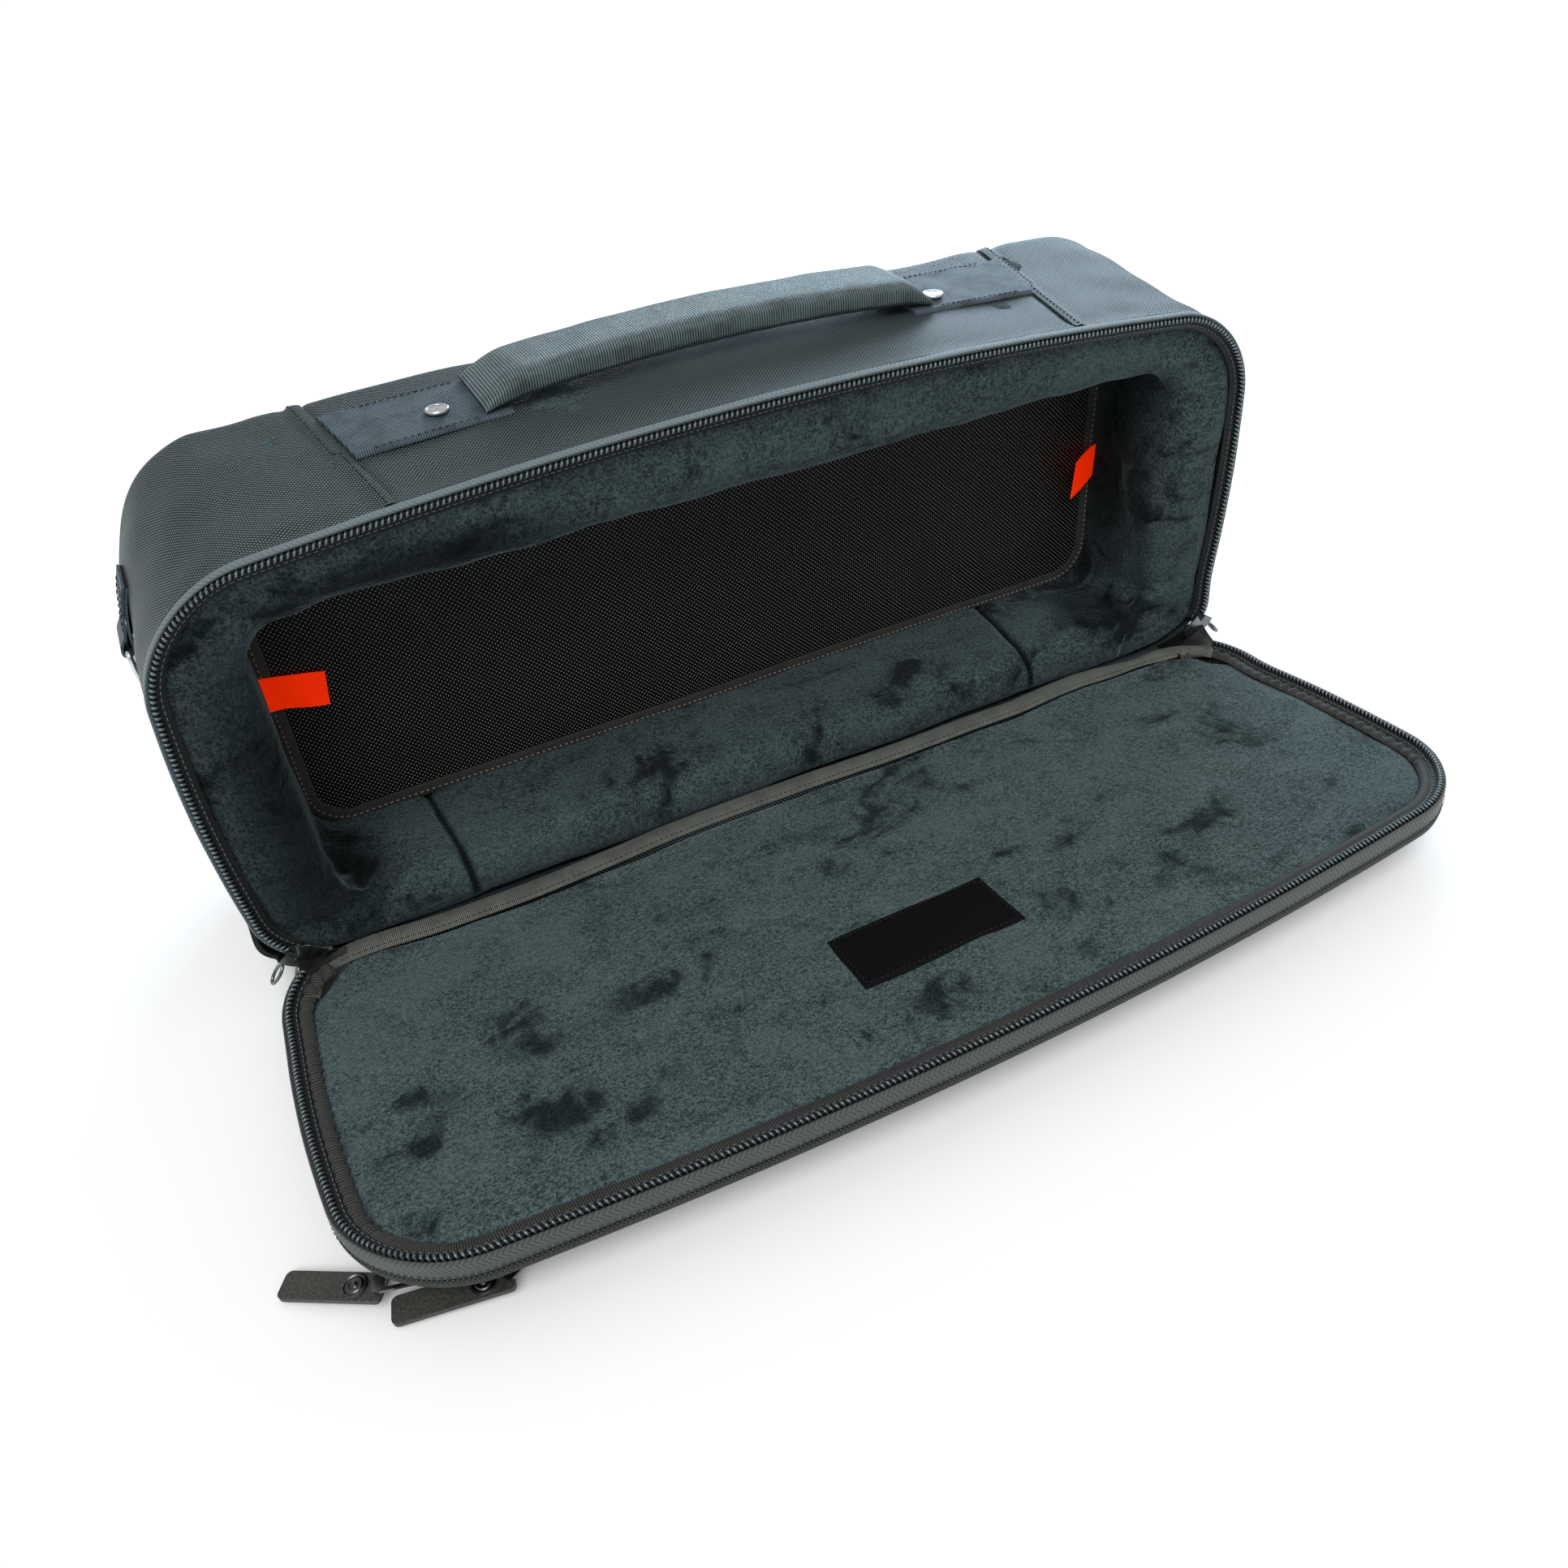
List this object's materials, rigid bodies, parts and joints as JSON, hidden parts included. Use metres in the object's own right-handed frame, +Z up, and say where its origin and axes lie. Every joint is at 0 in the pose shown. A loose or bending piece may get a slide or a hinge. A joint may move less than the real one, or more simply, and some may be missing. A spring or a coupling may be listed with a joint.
{
  "type": "theremin case",
  "caption": "Padded nylon case standing on its long side, zip lid folded down on the floor, plush-lined room with a hanging divider, ribbed carry handle on top and a ring on each end.",
  "frame": {"origin": "the middle of the long side that the case stands on, on the floor, 70 mm behind the plane of the body's zip", "axes": "+X to the right of someone who looks into the case, +Y into the case, +Z up"},
  "size_m": [0.6168, 0.3524, 0.2637],
  "materials": {
    "shell_nylon": "matte",
    "dark_nylon": "matte",
    "zip_tape": "matte",
    "zip_coil": "gloss",
    "hinge_grosgrain": "matte",
    "gusset_satin": "satin",
    "plush_lining": "matte",
    "webbing": "satin",
    "grip_rib": "matte",
    "bright_metal": "polished",
    "gun_metal": "satin",
    "pull_ribbon": "satin",
    "pull_rubber": "matte"
  },
  "bodies": {
    "case_body": {"back_panel": "shell_nylon", "top_panel": "shell_nylon", "left_end_panel": "shell_nylon", "right_end_panel": "shell_nylon", "bottom_panel": "shell_nylon", "hinge_panel": "shell_nylon", "body_zip_tape": "zip_tape", "body_zip_coil": "zip_coil", "hinge_binding": "hinge_grosgrain", "zip_end_gusset_left": "gusset_satin", "zip_end_gusset_right": "gusset_satin", "top_pad": "plush_lining", "left_side_pad": "plush_lining", "right_side_pad": "plush_lining", "floor_pad_left": "plush_lining", "floor_pad_centre": "plush_lining", "floor_pad_right": "plush_lining", "back_pad": "plush_lining", "handle_grip": "grip_rib", "handle_strip_left": "webbing", "handle_strip_right": "webbing", "handle_rivet_left": "bright_metal", "handle_rivet_right": "bright_metal", "ring_tab_left": "webbing", "ring_tab_right": "webbing"},
    "lid": {"lid_zip_tape": "zip_tape", "lid_zip_coil": "zip_coil", "lid_hinge_panel": "shell_nylon", "lid_gusset": "shell_nylon", "lid_outer_panel": "shell_nylon", "lid_pad": "plush_lining", "lid_binding": "hinge_grosgrain", "lid_blank_patch": "dark_nylon", "front_pocket_panel": "shell_nylon", "pocket_zip": "zip_coil"},
    "divider": {"divider_panel": "dark_nylon", "divider_binding": "hinge_grosgrain"},
    "divider_tab_left": {"divider_tab_left": "pull_ribbon"},
    "divider_tab_right": {"divider_tab_right": "pull_ribbon"},
    "zip_slider_left": {"zip_slider_left": "gun_metal"},
    "zip_slider_right": {"zip_slider_right": "gun_metal"},
    "d_ring_left": {"d_ring_left": "bright_metal"},
    "d_ring_right": {"d_ring_right": "bright_metal"},
    "pocket_slider_1": {"pocket_slider_1": "gun_metal"},
    "pocket_pull_1": {"pocket_pull_link_1": "gun_metal", "pocket_pull_tab_1": "pull_rubber", "pocket_pull_rivet_1": "gun_metal"},
    "pocket_slider_2": {"pocket_slider_2": "gun_metal"},
    "pocket_pull_2": {"pocket_pull_link_2": "gun_metal", "pocket_pull_tab_2": "pull_rubber", "pocket_pull_rivet_2": "gun_metal"}
  },
  "joints": [
    {"name": "lid_hinge", "type": "hinge", "parent": "case_body", "child": "lid", "pos_m": [0, -0.0715, 0.017], "axis": [-1, 0, 0], "range_deg": [0, 82.85]},
    {"name": "divider_flap", "type": "hinge", "parent": "case_body", "child": "divider", "pos_m": [0, 0.004, 0.1934], "axis": [-1, 0, 0], "range_deg": [0, 25]},
    {"name": "divider_tab_left_fold", "type": "hinge", "parent": "divider", "child": "divider_tab_left", "pos_m": [-0.2486, 0.0018, 0.126], "axis": [0, 0, -1], "range_deg": [0, 80]},
    {"name": "divider_tab_right_fold", "type": "hinge", "parent": "divider", "child": "divider_tab_right", "pos_m": [0.2486, 0.0014, 0.118], "axis": [0, 0, 1], "range_deg": [-27, 50]},
    {"name": "zip_run_left", "type": "hinge", "parent": "case_body", "child": "zip_slider_left", "pos_m": [-0.24725, -0.07, 0.05708], "axis": [0, 1, 0], "range_deg": [0, 30]},
    {"name": "zip_run_right", "type": "hinge", "parent": "case_body", "child": "zip_slider_right", "pos_m": [0.24725, -0.07, 0.05708], "axis": [0, -1, 0], "range_deg": [0, 30]},
    {"name": "d_ring_left_swing", "type": "hinge", "parent": "case_body", "child": "d_ring_left", "pos_m": [-0.29454, 0.01, 0.16981], "axis": [0, 1, 0], "range_deg": [0, 80]},
    {"name": "d_ring_right_swing", "type": "hinge", "parent": "case_body", "child": "d_ring_right", "pos_m": [0.29454, 0.01, 0.16981], "axis": [0, -1, 0], "range_deg": [0, 80]},
    {"name": "pocket_zip_run_1", "type": "slide", "parent": "lid", "child": "pocket_slider_1", "axis": [1, 0, 0], "range_m": [0, 0.008]},
    {"name": "pocket_zip_run_2", "type": "slide", "parent": "lid", "child": "pocket_slider_2", "axis": [1, 0, 0], "range_m": [0, 0.44]},
    {"name": "pocket_pull_1_swing", "type": "hinge", "parent": "pocket_slider_1", "child": "pocket_pull_1", "pos_m": [-0.243, -0.264, 0.01696], "axis": [0, 0, 1], "range_deg": [0, 26]},
    {"name": "pocket_pull_2_swing", "type": "hinge", "parent": "pocket_slider_2", "child": "pocket_pull_2", "pos_m": [-0.216, -0.264, 0.01696], "axis": [0, 0, -1], "range_deg": [0, 28]}
  ]
}
